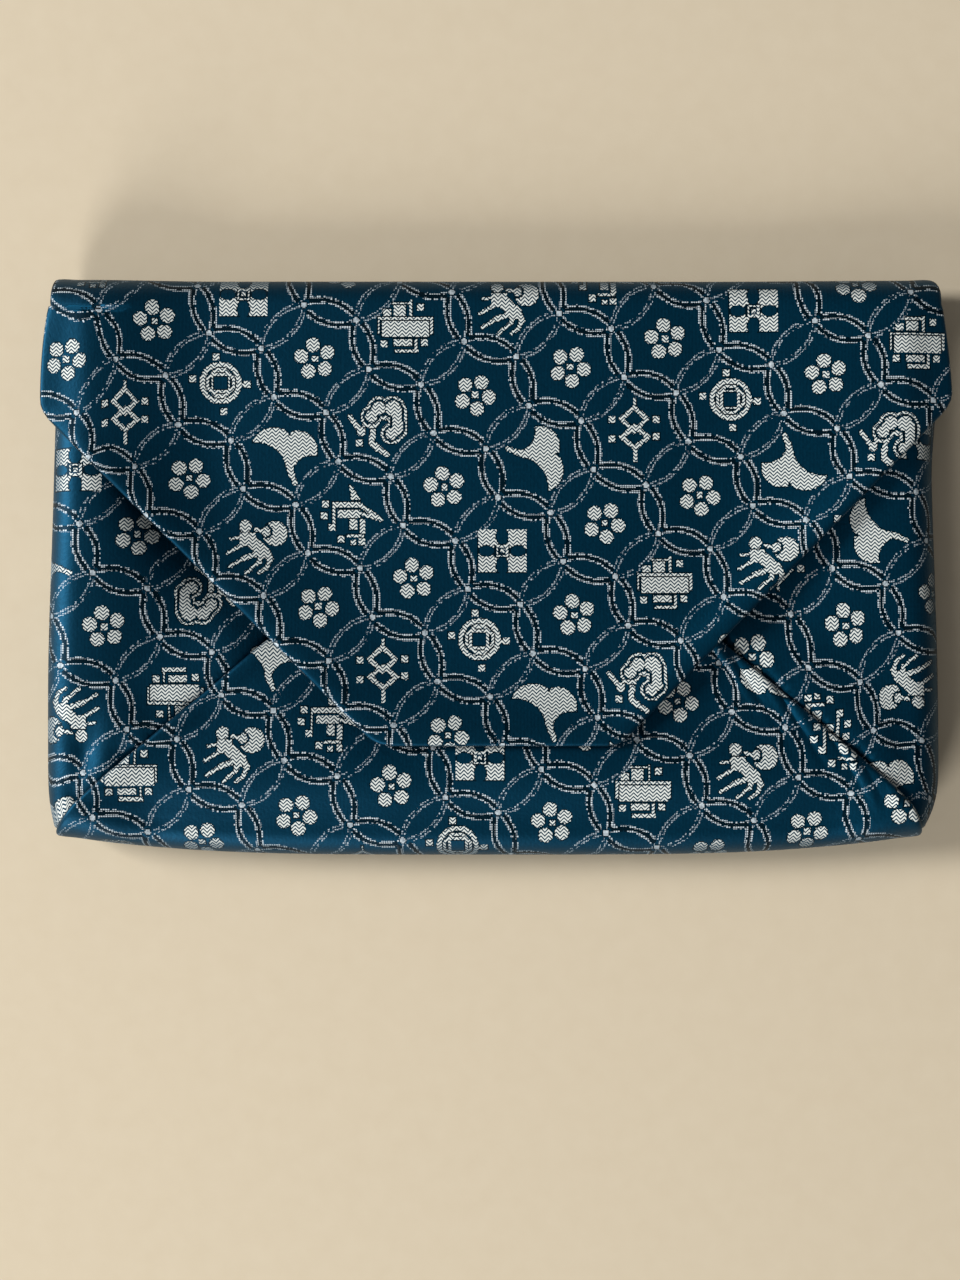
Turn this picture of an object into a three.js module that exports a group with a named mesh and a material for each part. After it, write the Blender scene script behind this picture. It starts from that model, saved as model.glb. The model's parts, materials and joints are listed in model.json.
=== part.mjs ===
// A tea-ceremony pouch folded like an envelope from one lined brocade sheet.
// It lies on its back panel: X runs across it, +Y towards the top fold, +Z up
// through its thickness. The origin is under its middle. Sizes in millimetres.

import * as THREE from 'three';

// The cloth
const clothThickness = 1.6;
const layerGap = 0.35;

// The body, outside
const bodyWidth = 232.6;
const bodyHeight = 151.4;
const edgeDepth = 16.6;

// The bottom edge bows: its two ends stand higher than its middle
const bottomBow = 5.6;
const bottomBowPower = 4;

// The front sinks between the full edges
const hollowDepth = 5;
const hollowRun = 36;
const hollowRise = 34;

// The flap, measured from the outside of the top fold
const flapLength = 122.3;
const flapFoldOverhang = 0.6;
const flapShoulderDrop = 34;
const flapShoulderOverhang = 2.2;
const flapShoulderRadius = 5;
const flapTipWidth = 62;
const flapTipRadius = 8;

// How far the flap's left slanting edge stands up, and over what width
const flapStand = 2;
const flapStandReach = 16;

// The bottom panel, measured from the bottom fold
const bottomPanelHeight = 56;
const bottomPanelTopWidth = 117;
const bottomPanelRadius = 7;

// The side panels: their reach in from the side edge, and the slant of their upper edge
const sidePanelReach = 80;
const sidePanelSlant = 1.3;

// Soft dents in the left side panel beside its lower corner
const dents = [
  { x: -105, y: -56, radius: 6.5, depth: 1.5 },
  { x: -97, y: -42, radius: 8, depth: 1.2 },
  { x: -78, y: -31, radius: 10, depth: 1.1 },
];

// At the lower corners the side fold ends this far short of the bottom fold
const cornerClearance = 1.5;

// How finely the sheet is divided
const columnsAcross = 26;
const arcSteps = 8;
const panelStep = 8;
const cornerSteps = 3;

// Sizes that follow from those above, on the middle surface of the cloth
const halfThickness = clothThickness / 2;
const layerPitch = clothThickness + layerGap;
const sideLine = bodyWidth / 2 - halfThickness;
const topLine = bodyHeight / 2 - halfThickness;
const bottomLine = -bodyHeight / 2 + halfThickness;
const sideTop = edgeDepth - halfThickness;
const sideRadius = (sideTop - halfThickness) / 2;
const sideTangent = sideLine - sideRadius;
const flapFoldHalf = bodyWidth / 2 + flapFoldOverhang;
const flapShoulderHalf = bodyWidth / 2 + flapShoulderOverhang;
const flapTip = bodyHeight / 2 - flapLength;
const flapShoulder = bodyHeight / 2 - flapShoulderDrop;
const bottomPanelEdge = -bodyHeight / 2 + bottomPanelHeight;

const smooth = (value) => THREE.MathUtils.smoothstep(value, 0, 1);
const mix = THREE.MathUtils.lerp;

// Height of the side panels' middle surface: full at the edges, hollow between
function frontHeight(x, y) {
  const across = smooth((sideTangent - Math.abs(x)) / hollowRun);
  const along = smooth((y - bottomLine - 2 * sideRadius) / hollowRise);
  return sideTop - hollowDepth * across * along;
}

// How far the dents press a place in
function dentDepth(x, y) {
  let depth = 0;
  for (const dent of dents) {
    const square = ((x - dent.x) ** 2 + (y - dent.y) ** 2) / dent.radius ** 2;
    depth += dent.depth * Math.exp(-square);
  }
  return depth;
}

function sidePanelHeight(x, y) {
  return frontHeight(x, y) - dentDepth(x, y);
}

function bottomPanelHeightAt(x, y) {
  return frontHeight(x, y) + layerPitch;
}

// Distance from the flap's left slanting edge, inwards
function fromLeftSlant(x, y) {
  const run = flapShoulderHalf - flapTipWidth / 2;
  const rise = flapShoulder - flapTip;
  const offset = (x + flapShoulderHalf) * rise + (y - flapShoulder) * run;
  return offset / Math.hypot(run, rise);
}

// The flap lies one layer above the side panels and two above the bottom panel
function flapHeight(x, y) {
  const overBottom = 1 - smooth((y - bottomPanelEdge - 4) / 24);
  const inward = fromLeftSlant(x, y) / flapStandReach;
  const alongSlant = smooth((flapShoulder - y) / 36) * smooth((y - flapTip) / 26);
  const stand = flapStand * Math.exp(-inward * inward) * alongSlant;
  return frontHeight(x, y) + layerPitch * (1.1 + 0.95 * overBottom) + stand;
}

// The bottom fold's outermost line
function bottomEdge(x) {
  const share = Math.min(Math.abs(x) / sideLine, 1);
  return bottomLine + bottomBow * share ** bottomBowPower;
}

// Radius of each fold, half the height that it climbs
function topRadius(x) {
  return (flapHeight(x, topLine) - halfThickness) / 2;
}

function bottomRadius(x) {
  return (bottomPanelHeightAt(x, bottomLine) - halfThickness) / 2;
}

// Where the flat back ends and each fold begins
function topTangent(x) {
  return topLine - topRadius(x);
}

function bottomTangent(x) {
  return bottomEdge(x) + bottomRadius(x);
}

// A place on the top fold: turn is 0 at the back panel and PI at the flap
function topFold(x, turn) {
  const radius = topRadius(x);
  const y = topTangent(x) + radius * Math.sin(turn);
  return new THREE.Vector3(x, y, halfThickness + radius * (1 - Math.cos(turn)));
}

// A place on the bottom fold: turn is 0 at the back panel and PI at the bottom panel
function bottomFold(x, turn) {
  const radius = bottomRadius(x);
  const y = bottomTangent(x) - radius * Math.sin(turn);
  return new THREE.Vector3(x, y, halfThickness + radius * (1 - Math.cos(turn)));
}

// Half of an outline as corners { half, y, radius }, given from one end of the
// panel to the other. Returns rows { half, y } with the corners rounded.
function roundedRows(corners, step) {
  const places = corners.map((corner) => new THREE.Vector2(corner.half, corner.y));
  const rows = [];
  let last = places[0];
  for (let index = 1; index < places.length; index += 1) {
    const here = places[index];
    const radius = corners[index].radius ?? 0;
    const back = last.clone().sub(here).normalize();
    if (radius === 0) {
      straightRows(rows, last, here, step);
      rows.push({ half: here.x, y: here.y });
      last = here;
      continue;
    }
    const ahead = places[index + 1].clone().sub(here).normalize();
    const halfAngle = Math.acos(back.dot(ahead)) / 2;
    const reach = radius / Math.tan(halfAngle);
    const start = here.clone().addScaledVector(back, reach);
    const end = here.clone().addScaledVector(ahead, reach);
    straightRows(rows, last, start, step);
    const curve = new THREE.QuadraticBezierCurve(start, here, end);
    for (const point of curve.getPoints(cornerSteps)) {
      rows.push({ half: point.x, y: point.y });
    }
    last = end;
  }
  return rows;
}

// Rows strictly between two ends of a straight stretch; a level stretch gets none
function straightRows(rows, from, to, step) {
  const count = Math.ceil(Math.abs(to.y - from.y) / step - 0.2);
  for (let index = 1; index < count; index += 1) {
    const share = index / count;
    rows.push({ half: mix(from.x, to.x, share), y: mix(from.y, to.y, share) });
  }
}

// The middle surface of the cloth: triangles between places, each place kept once
class Sheet {
  constructor() {
    this.places = [];
    this.numbers = new Map();
    this.triangles = [];
  }

  place(point) {
    const key = point.toArray().map((value) => value.toFixed(3)).join(' ');
    if (!this.numbers.has(key)) {
      this.numbers.set(key, this.places.length);
      this.places.push(point.clone());
    }
    return this.numbers.get(key);
  }

  // Joins rows of equal count; where places coincide, the empty triangle is left out
  weave(rows, flip) {
    const grid = rows.map((row) => row.map((point) => this.place(point)));
    for (let r = 0; r + 1 < grid.length; r += 1) {
      for (let c = 0; c + 1 < grid[r].length; c += 1) {
        const [a, b, d, e] = [grid[r][c], grid[r][c + 1], grid[r + 1][c + 1], grid[r + 1][c]];
        this.triangle(a, b, d, flip);
        this.triangle(a, d, e, flip);
      }
    }
  }

  triangle(a, b, c, flip) {
    if (a !== b && b !== c && c !== a) {
      this.triangles.push(flip ? [a, c, b] : [a, b, c]);
    }
  }

  // Gives the sheet its thickness: two faces and the rim along every free edge
  solid(thickness) {
    const normals = this.places.map(() => new THREE.Vector3());
    for (const [a, b, c] of this.triangles) {
      const side = this.places[b].clone().sub(this.places[a]);
      const other = this.places[c].clone().sub(this.places[a]);
      const normal = side.cross(other);
      for (const number of [a, b, c]) {
        normals[number].add(normal);
      }
    }
    const outer = this.places.map((point, i) => (
      point.clone().addScaledVector(normals[i].normalize(), thickness / 2)));
    const inner = this.places.map((point, i) => (
      point.clone().addScaledVector(normals[i], -thickness / 2)));
    const shift = this.places.length;
    const index = [];
    const open = new Map();
    for (const [a, b, c] of this.triangles) {
      index.push(a, b, c, a + shift, c + shift, b + shift);
      for (const [from, to] of [[a, b], [b, c], [c, a]]) {
        if (!open.delete(`${to} ${from}`)) {
          open.set(`${from} ${to}`, [from, to]);
        }
      }
    }
    for (const [from, to] of open.values()) {
      index.push(from, from + shift, to, to, from + shift, to + shift);
    }
    const geometry = new THREE.BufferGeometry();
    geometry.setFromPoints([...outer, ...inner]);
    geometry.setIndex(index);
    geometry.computeVertexNormals();
    return geometry;
  }
}

const shares = [];
for (let column = 0; column <= columnsAcross; column += 1) {
  shares.push(2 * column / columnsAcross - 1);
}

const turns = [];
for (let step = 0; step <= arcSteps; step += 1) {
  turns.push(Math.PI * step / arcSteps);
}

// The flap, from its tip to the top fold
function flapRows() {
  const corners = [
    { half: 0, y: flapTip },
    { half: flapTipWidth / 2, y: flapTip, radius: flapTipRadius },
    { half: flapShoulderHalf, y: flapShoulder, radius: flapShoulderRadius },
    { half: flapFoldHalf, y: topTangent(sideLine) - panelStep / 2 },
  ];
  return roundedRows(corners, panelStep).map(({ half, y }) => (
    shares.map((share) => new THREE.Vector3(half * share, y, flapHeight(half * share, y)))));
}

// The top fold, from the flap round to the back panel, which is narrower
function topFoldRows() {
  return [...turns].reverse().map((turn) => {
    const swell = turn > Math.PI / 2 ? 1 : Math.sin(turn);
    const half = mix(sideTangent, flapFoldHalf, swell);
    return shares.map((share) => topFold(half * share, turn));
  });
}

// The flat back between the two folds
function backRows() {
  const count = Math.ceil(bodyHeight / panelStep);
  const rows = [];
  for (let row = 0; row <= count; row += 1) {
    rows.push(shares.map((share) => {
      const x = sideTangent * share;
      const y = mix(topTangent(x), bottomTangent(x), row / count);
      return new THREE.Vector3(x, y, halfThickness);
    }));
  }
  return rows;
}

// The bottom fold, whose ends swell out to close the corners beyond the side walls
function bottomFoldRows() {
  return turns.map((turn) => {
    const half = sideTangent + (sideRadius + halfThickness) * Math.sin(turn);
    return shares.map((share) => bottomFold(half * share, turn));
  });
}

// The bottom panel, a trapezium with its narrow edge up
function bottomPanelRows() {
  const corners = [
    { half: sideTangent, y: bottomTangent(sideTangent) },
    { half: bottomPanelTopWidth / 2, y: bottomPanelEdge, radius: bottomPanelRadius },
    { half: 0, y: bottomPanelEdge },
  ];
  return roundedRows(corners, panelStep).slice(0, -1).map(({ half, y }) => (
    shares.map((share) => (
      new THREE.Vector3(half * share, y, bottomPanelHeightAt(half * share, y))))));
}

// One side panel from the back's side edge, round the fold and in over the front.
// side is -1 for the left and 1 for the right.
function sidePanelRows(side) {
  const foldRun = Math.PI * sideRadius;
  const topCorner = topTangent(sideTangent);
  const bottomCorner = bottomTangent(sideTangent);
  const panelCount = Math.ceil(sidePanelReach / panelStep);
  return backRows().map((row) => {
    const y = row[0].y;
    const length = Math.min(sidePanelSlant * (topCorner - y),
      foldRun + sidePanelReach - sideRadius);
    const bow = Math.max(0, 1 - (y - bottomCorner) / (4 * sideRadius)) ** 2;
    const arc = turns.map((turn) => {
      const angle = Math.min(turn, length / sideRadius);
      const x = sideTangent + sideRadius * Math.sin(angle);
      const z = halfThickness + sideRadius * (1 - Math.cos(angle));
      const drop = Math.max(0, bottomCorner - bottomFold(x, angle).y - cornerClearance);
      return new THREE.Vector3(side * x, y - bow * drop, z);
    });
    const run = Math.max(0, length - foldRun);
    const panel = [];
    for (let step = 1; step <= panelCount; step += 1) {
      const x = side * (sideTangent - run * step / panelCount);
      const place = new THREE.Vector3(x, y, sidePanelHeight(x, y));
      panel.push(run > 0 ? place : arc[arc.length - 1]);
    }
    return [...arc, ...panel];
  });
}

function pouchGeometry() {
  const sheet = new Sheet();
  const chain = [...flapRows(), ...topFoldRows(), ...backRows().slice(1, -1),
    ...bottomFoldRows(), ...bottomPanelRows()];
  sheet.weave(chain, false);
  sheet.weave(sidePanelRows(-1), true);
  sheet.weave(sidePanelRows(1), false);
  return sheet.solid(clothThickness);
}

const brocade = new THREE.MeshStandardMaterial({
  color: 0x0b3a58, roughness: 0.55, metalness: 0,
});

const pouchCloth = new THREE.Mesh(pouchGeometry(), brocade);
pouchCloth.name = 'pouch_cloth';

const group = new THREE.Group();
group.add(pouchCloth);

export default group;
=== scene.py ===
"""A teaware pouch folded like an envelope from one lined brocade cloth.

The cloth is worked out as one middle surface in millimetres, panel by panel,
and every place on it also knows where it lies on the flat cloth, so that the
woven pattern runs round the folds as it does on the real one. It then gets its
thickness, its soft rolled edges and its lining, and is dressed in the brocade.
"""

from __future__ import annotations

import ast
import functools
import json
import logging
import math
from dataclasses import dataclass, field
from enum import Enum

import bpy
import numpy as np
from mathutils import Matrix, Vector

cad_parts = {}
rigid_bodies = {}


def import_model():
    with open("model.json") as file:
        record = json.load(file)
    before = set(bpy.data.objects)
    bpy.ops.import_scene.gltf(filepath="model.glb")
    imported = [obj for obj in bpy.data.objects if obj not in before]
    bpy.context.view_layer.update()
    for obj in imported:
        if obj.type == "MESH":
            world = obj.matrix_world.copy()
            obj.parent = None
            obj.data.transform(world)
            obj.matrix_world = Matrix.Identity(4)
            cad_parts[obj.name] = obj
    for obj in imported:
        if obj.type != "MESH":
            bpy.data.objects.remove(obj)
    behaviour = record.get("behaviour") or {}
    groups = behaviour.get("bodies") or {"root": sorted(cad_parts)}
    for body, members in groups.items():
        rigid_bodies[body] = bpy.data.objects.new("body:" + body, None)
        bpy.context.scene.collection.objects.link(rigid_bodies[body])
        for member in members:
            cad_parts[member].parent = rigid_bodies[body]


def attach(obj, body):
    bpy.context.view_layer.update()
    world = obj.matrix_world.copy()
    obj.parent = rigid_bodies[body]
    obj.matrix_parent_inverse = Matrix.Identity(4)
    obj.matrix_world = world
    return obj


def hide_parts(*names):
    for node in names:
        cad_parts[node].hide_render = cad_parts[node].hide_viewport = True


log = logging.getLogger("teaware_pouch")

MM = 0.001
NODE = "pouch_cloth"
BODY = "root"


def linear(colour: str) -> tuple[float, float, float, float]:
    """Turns an sRGB hex colour such as "#0a3048" to linear red, green, blue and alpha.

    Args:
        colour: the colour as it is seen, with or without its hash.

    Returns:
        The linear colour, with alpha 1.
    """
    parts = [int(colour.lstrip("#")[i : i + 2], 16) / 255 for i in (0, 2, 4)]
    red, green, blue = (
        part / 12.92 if part <= 0.04045 else ((part + 0.055) / 1.055) ** 2.4
        for part in parts
    )
    return red, green, blue, 1.0


def smooth(value: np.ndarray) -> np.ndarray:
    """Eases from 0 to 1: 3t^2 - 2t^3, with t held between 0 and 1.

    Args:
        value: t, any array.

    Returns:
        The eased array.
    """
    held = np.clip(value, 0.0, 1.0)
    return held * held * (3.0 - 2.0 * held)


def hill(distance: np.ndarray, reach: float) -> np.ndarray:
    """A round hill: e to the power of -(distance / reach)^2."""
    return np.exp(-((distance / reach) ** 2))


def nearer(one: np.ndarray, other: np.ndarray, blend: float) -> np.ndarray:
    """The smaller of two arrays, rounded over where they come within blend.

    With the share h = 1/2 + (other - one) / (2 blend), held between 0 and 1, it
    is other + (one - other) h - blend h (1 - h).

    Args:
        one: the first array.
        other: the second array.
        blend: how far apart the two are where the rounding starts.

    Returns:
        The rounded smaller array.
    """
    share = np.clip(0.5 + (other - one) / (2 * blend), 0.0, 1.0)
    return other + (one - other) * share - blend * share * (1.0 - share)


@dataclass(frozen=True)
class Ramp:
    """A smooth step from 0 at its start to 1 after its run, backwards if that is below 0."""

    start: float
    run: float

    def at(self, value: np.ndarray) -> np.ndarray:
        """The step's height at a value: (value - start) / run, eased."""
        return smooth((value - self.start) / self.run)


# How far the cloth turns from straight up, by its normal's Z, which sets a painted
# shade on the pale threads round the folds, and how far a place is off the flat back,
# by its height in mm.
PAINTED_FOLD_SHADE = Ramp(0.985, -0.36)
OFF_THE_BACK = Ramp(1.5, 3.0)


class Side(Enum):
    """The two sides of the pouch as it is seen from the front."""

    LEFT = -1
    RIGHT = 1


@dataclass(frozen=True)
class FlapSide:
    """How the real flap's left or right side differs from the CAD's, in mm.

    The insets are how much less wide its middle surface is at the fold and at the
    shoulder, which leaves room for the soft rim. The shoulder sits higher by its
    rise, and the edge above it narrows to the fold by the bow's power. The tip's
    corner has the tip radius, and the fold's end is rounded off by fold_rounding.
    The slanting edge stands up by stand, within stand_reach of it.
    """

    fold_inset: float
    shoulder_inset: float
    shoulder_rise: float
    bow: float
    tip_radius: float
    fold_rounding: float
    stand: float
    stand_reach: float


@dataclass
class PouchForm:
    """The pouch's sizes and the heights of its panels' middle surfaces, in mm.

    The pouch lies on its back panel: X runs across it, +Y to the top fold and
    +Z up through its thickness. The sizes down to corner_clearance are the CAD's
    driving sizes, but for the flap's tip inset, blend, droop and sides. The rest
    is how this soft pouch has settled: a pair is the left side's and the right's,
    and a ramp says where a change comes in, across in x, up in y, or from the
    edge, seam, fold or tip that it is named for. A dent is its x, y, radius and
    depth.
    """

    cloth: float = 1.6
    gap: float = 0.35
    width: float = 232.6
    height: float = 151.4
    depth: float = 16.6
    bottom_bow: float = 5.6
    hollow_depth: float = 5.0
    hollow_run: float = 36.0
    hollow_rise: float = 34.0
    flap_length: float = 122.3
    flap_fold_overhang: float = 0.6
    flap_shoulder_drop: float = 34.0
    flap_shoulder_overhang: float = 2.2
    flap_tip_width: float = 62.0
    flap_tip_inset: float = 1.0
    flap_shoulder_blend: float = 2.6
    flap_droop: float = 2.2
    flap_sides: dict[Side, FlapSide] = field(default_factory=lambda: {
        Side.LEFT: FlapSide(1.4, 0.3, -0.8, 2.5, 9.0, 0.0, 2.6, 16.0),
        Side.RIGHT: FlapSide(2.0, 0.6, 1.6, 1.5, 7.0, 1.4, 2.0, 8.0),
    })
    panel_height: float = 56.0
    panel_top_width: float = 117.0
    side_reach: float = 80.0
    side_slant: float = 1.3
    corner_clearance: float = 1.5
    corner_swell: float = 6.9
    settled_shift: float = -1.15
    settled_waist: float = -0.65
    settled_spread: float = 1.7
    settled_corners: tuple[float, float] = (-2.8, -6.2)
    corner_reach: float = 10.0
    settled_up: Ramp = Ramp(52.0, -30.0)
    spread_up: Ramp = Ramp(36.0, -70.0)
    foot_droop: float = 3.6
    foot_up: Ramp = Ramp(-50.0, -20.0)
    from_side: Ramp = Ramp(0.0, 22.0)
    right_run: float = 60.0
    right_lower: float = 2.6
    right_across: Ramp = Ramp(30.0, 75.0)
    right_up: Ramp = Ramp(-64.0, 50.0)
    sink: float = 4.5
    sink_reach: float = 10.5
    sink_offset: float = 5.0
    right_sink_share: float = 0.36
    panel_sink: float = 1.6
    panel_sink_up: Ramp = Ramp(0.0, 45.0)
    seam_rises: tuple[float, float] = (1.9, 1.5)
    seam_gaps: tuple[float, float] = (-0.3, 0.8)
    seam_gap_run: float = 2.0
    seam_fade: Ramp = Ramp(4.0, 16.0)
    seam_from_side: Ramp = Ramp(0.0, 9.0)
    ripple: float = 0.3
    ripple_step: float = 9.5
    ripple_reach: float = 6.0
    over_panel: Ramp = Ramp(4.0, 24.0)
    flap_layers: tuple[float, float] = (1.1, 0.95)
    stand_from_shoulder: Ramp = Ramp(0.0, 36.0)
    stand_from_tip: Ramp = Ramp(0.0, 14.0)
    droop_across: Ramp = Ramp(105.5, 13.0)
    tip_lift: float = 0.8
    tip_reach: float = 7.0
    slack: float = 0.22
    slack_steps: tuple[float, float] = (19.0, 15.0)
    dents: tuple[tuple[float, float, float, float], ...] = (
        (-107.4, -59.8, 3.8, 1.6),
        (-105.0, -47.6, 4.6, 1.4),
        (-95.4, -48.6, 4.6, 1.5),
        (-88.0, -37.0, 7.0, 1.2),
        (93.0, -55.0, 6.0, 0.8),
        (101.0, -61.0, 5.0, 0.9),
    )

    # Worked out from the sizes above.
    half: float = field(init=False)
    pitch: float = field(init=False)
    side_line: float = field(init=False)
    top_line: float = field(init=False)
    bottom_line: float = field(init=False)
    side_top: float = field(init=False)
    side_radius: float = field(init=False)
    side_tangent: float = field(init=False)
    fold_half: dict[Side, float] = field(init=False)
    shoulder_half: dict[Side, float] = field(init=False)
    shoulder: dict[Side, float] = field(init=False)
    flap_tip: float = field(init=False)
    panel_edge: float = field(init=False)

    def __post_init__(self) -> None:
        """Works out the sizes that follow from the driving ones."""
        self.half = self.cloth / 2
        self.pitch = self.cloth + self.gap
        self.side_line = self.width / 2 - self.half
        self.top_line = self.height / 2 - self.half
        self.bottom_line = -self.top_line
        self.side_top = self.depth - self.half
        self.side_radius = (self.side_top - self.half) / 2
        self.side_tangent = self.side_line - self.side_radius
        self.fold_half = {side: self.width / 2 + self.flap_fold_overhang - made.fold_inset
                          for side, made in self.flap_sides.items()}
        self.shoulder_half = {
            side: self.width / 2 + self.flap_shoulder_overhang - made.shoulder_inset
            for side, made in self.flap_sides.items()
        }
        self.shoulder = {side: self.height / 2 - self.flap_shoulder_drop + made.shoulder_rise
                         for side, made in self.flap_sides.items()}
        self.flap_tip = self.height / 2 - self.flap_length + self.flap_tip_inset
        self.panel_edge = -self.height / 2 + self.panel_height

    def front(self, x: np.ndarray, y: np.ndarray) -> np.ndarray:
        """Height of the front: full at the edges, sunk in the hollow between them.

        Along the bottom it droops a little towards the fold, and its right side
        is less full and lies lower.

        Args:
            x: places across.
            y: places up.

        Returns:
            The heights.
        """
        inside = self.side_tangent - np.abs(x)
        across = smooth(inside / np.where(x < 0, self.hollow_run, self.right_run))
        along = smooth((y - self.bottom_line - 2 * self.side_radius) / self.hollow_rise)
        foot = self.from_side.at(inside) * self.foot_up.at(y)
        lower = self.right_lower * self.right_across.at(x) * self.right_up.at(y)
        height = self.side_top - self.hollow_depth * across * along
        return height - self.foot_droop * foot - lower

    def settled(self, x: np.ndarray, y: np.ndarray) -> np.ndarray:
        """Where a place of the body lies across, once the soft body has settled.

        Below the flap's shoulders the body shifts a little to the left, is
        narrower at its waist, spreads downwards and draws in at its corners.

        Args:
            x: places across, as folded.
            y: places up.

        Returns:
            The settled places across.
        """
        low = self.settled_up.at(y)
        change = self.settled_waist * low + self.settled_spread * self.spread_up.at(y)
        corner = np.where(x < 0, *self.settled_corners)
        change = change + corner * hill(y - self.bottom_line, self.corner_reach)
        return x * (1.0 + change / self.side_line) + self.settled_shift * low

    def from_seam(self, x: np.ndarray, y: np.ndarray) -> np.ndarray:
        """Distance outwards from the bottom panel's slanting seams.

        Args:
            x: places across.
            y: places up.

        Returns:
            The distances, below 0 between the seams.
        """
        run = self.side_tangent - self.panel_top_width / 2
        start = self.bottom_line + self.bottom_bow + self.side_radius
        rise = self.panel_edge - self.bottom_line - self.bottom_bow - self.side_radius
        offset = (np.abs(x) - self.side_tangent) * rise
        return (offset + (y - start) * run) / math.hypot(run, rise)

    def ripples(self, x: np.ndarray, y: np.ndarray) -> np.ndarray:
        """Soft puckers that the stitches draw along the seams: two sines along them.

        Args:
            x: places across.
            y: places up.

        Returns:
            How much higher the cloth lies.
        """
        along = (np.abs(x) + y + 0.7 * x) / self.ripple_step
        wave = np.sin(2 * np.pi * along) + 0.5 * np.sin(2 * np.pi * along * 1.7 + 1.0)
        return self.ripple * wave * hill(self.from_seam(x, y), self.ripple_reach)

    def dented(self, x: np.ndarray, y: np.ndarray) -> np.ndarray:
        """How deep the dents near the lower corners are: a round hill for each.

        Args:
            x: places across.
            y: places up.

        Returns:
            The depths.
        """
        deep = np.zeros(np.broadcast(x, y).shape)
        for at_x, at_y, radius, depth in self.dents:
            deep = deep + depth * hill(np.hypot(x - at_x, y - at_y), radius)
        return deep

    def side_panel(self, x: np.ndarray, y: np.ndarray) -> np.ndarray:
        """Height of a side panel.

        It is the front less the dents, with the seams' puckers, and sinks beside
        the flap's slanting edges, deeper on the left. Outside the seams it rises
        to the bottom panel's own height, so the two meet in a narrow groove.

        Args:
            x: places across.
            y: places up.

        Returns:
            The heights.
        """
        height = self.front(x, y) + self.ripples(x, y) - self.dented(x, y)
        beside = self.valley(x, y, Side.LEFT)
        other = self.valley(x, y, Side.RIGHT)
        inside = self.side_tangent - np.abs(x)
        out = self.from_seam(x, y)
        meet = smooth((out - np.where(x < 0, *self.seam_gaps)) / self.seam_gap_run)
        meet = meet * (1.0 - self.seam_fade.at(out)) * np.where(x < 0, *self.seam_rises)
        meet = meet * self.seam_from_side.at(inside)
        sunk = self.sink * self.from_side.at(inside) * (beside + self.right_sink_share * other)
        return height - sunk + meet

    def bottom_panel(self, x: np.ndarray, y: np.ndarray) -> np.ndarray:
        """Height of the bottom panel: one layer above the front, with puckers.

        It too sinks beside the flap's left slanting edge, less towards its fold.

        Args:
            x: places across.
            y: places up.

        Returns:
            The heights.
        """
        fade = self.panel_sink_up.at(y - self.bottom_line)
        height = self.front(x, y) + self.pitch + self.ripples(x, y)
        return height - self.panel_sink * self.valley(x, y, Side.LEFT) * fade

    def from_slant(self, x: np.ndarray, y: np.ndarray, side: Side) -> np.ndarray:
        """Distance inwards from the flap's slanting edge on one side.

        Args:
            x: places across.
            y: places up.
            side: the side of the pouch.

        Returns:
            The distances, below 0 outside the flap.
        """
        run = self.shoulder_half[side] - self.flap_tip_width / 2
        rise = self.shoulder[side] - self.flap_tip
        offset = (self.shoulder_half[side] - side.value * x) * rise
        return (offset + (y - self.shoulder[side]) * run) / math.hypot(run, rise)

    def valley(self, x: np.ndarray, y: np.ndarray, side: Side) -> np.ndarray:
        """Share of the sinking beside a slanting edge: a hill along it, just inside."""
        return hill(self.from_slant(x, y, side) - self.sink_offset, self.sink_reach)

    def flap(self, x: np.ndarray, y: np.ndarray) -> np.ndarray:
        """Height of the flap: a layer above the sides and two above the bottom panel.

        Its slanting edges stand up by a hill across the edge, which fades towards
        the shoulder and the tip, and the tip lifts a little. It is slack in long
        low waves, and its outer margins droop over the side folds.

        Args:
            x: places across.
            y: places up.

        Returns:
            The heights.
        """
        over = 1.0 - self.over_panel.at(y - self.panel_edge)
        layers = self.flap_layers[0] + self.flap_layers[1] * over
        height = self.front(x, y) + self.pitch * layers
        for side, made in self.flap_sides.items():
            fade = self.stand_from_shoulder.at(self.shoulder[side] - y)
            fade = fade * self.stand_from_tip.at(y - self.flap_tip)
            across = hill(self.from_slant(x, y, side), made.stand_reach)
            height = height + made.stand * fade * across
        step_x, step_y = self.slack_steps
        slack = self.slack * np.sin(x / step_x + 0.6) * np.sin(y / step_y + 0.4)
        lift = self.tip_lift * hill(y - self.flap_tip, self.tip_reach)
        return height + slack + lift - self.flap_droop * self.droop_across.at(np.abs(x))

    def bottom_edge(self, x: np.ndarray) -> np.ndarray:
        """The bottom fold's outermost line: it rises at its ends by bow * share^4."""
        share = np.minimum(np.abs(x) / self.side_line, 1.0)
        return self.bottom_line + self.bottom_bow * share**4

    def top_radius(self, x: np.ndarray) -> np.ndarray:
        """Radius of the top fold: half the height that it climbs."""
        return (self.flap(x, np.full_like(x, self.top_line)) - self.half) / 2

    def bottom_radius(self, x: np.ndarray) -> np.ndarray:
        """Radius of the bottom fold: half the height that it climbs."""
        return (self.bottom_panel(x, np.full_like(x, self.bottom_line)) - self.half) / 2

    def top_tangent(self, x: np.ndarray) -> np.ndarray:
        """Where the flat back ends and the top fold begins."""
        return self.top_line - self.top_radius(x)

    def bottom_tangent(self, x: np.ndarray) -> np.ndarray:
        """Where the flat back ends and the bottom fold begins."""
        return self.bottom_edge(x) + self.bottom_radius(x)


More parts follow.
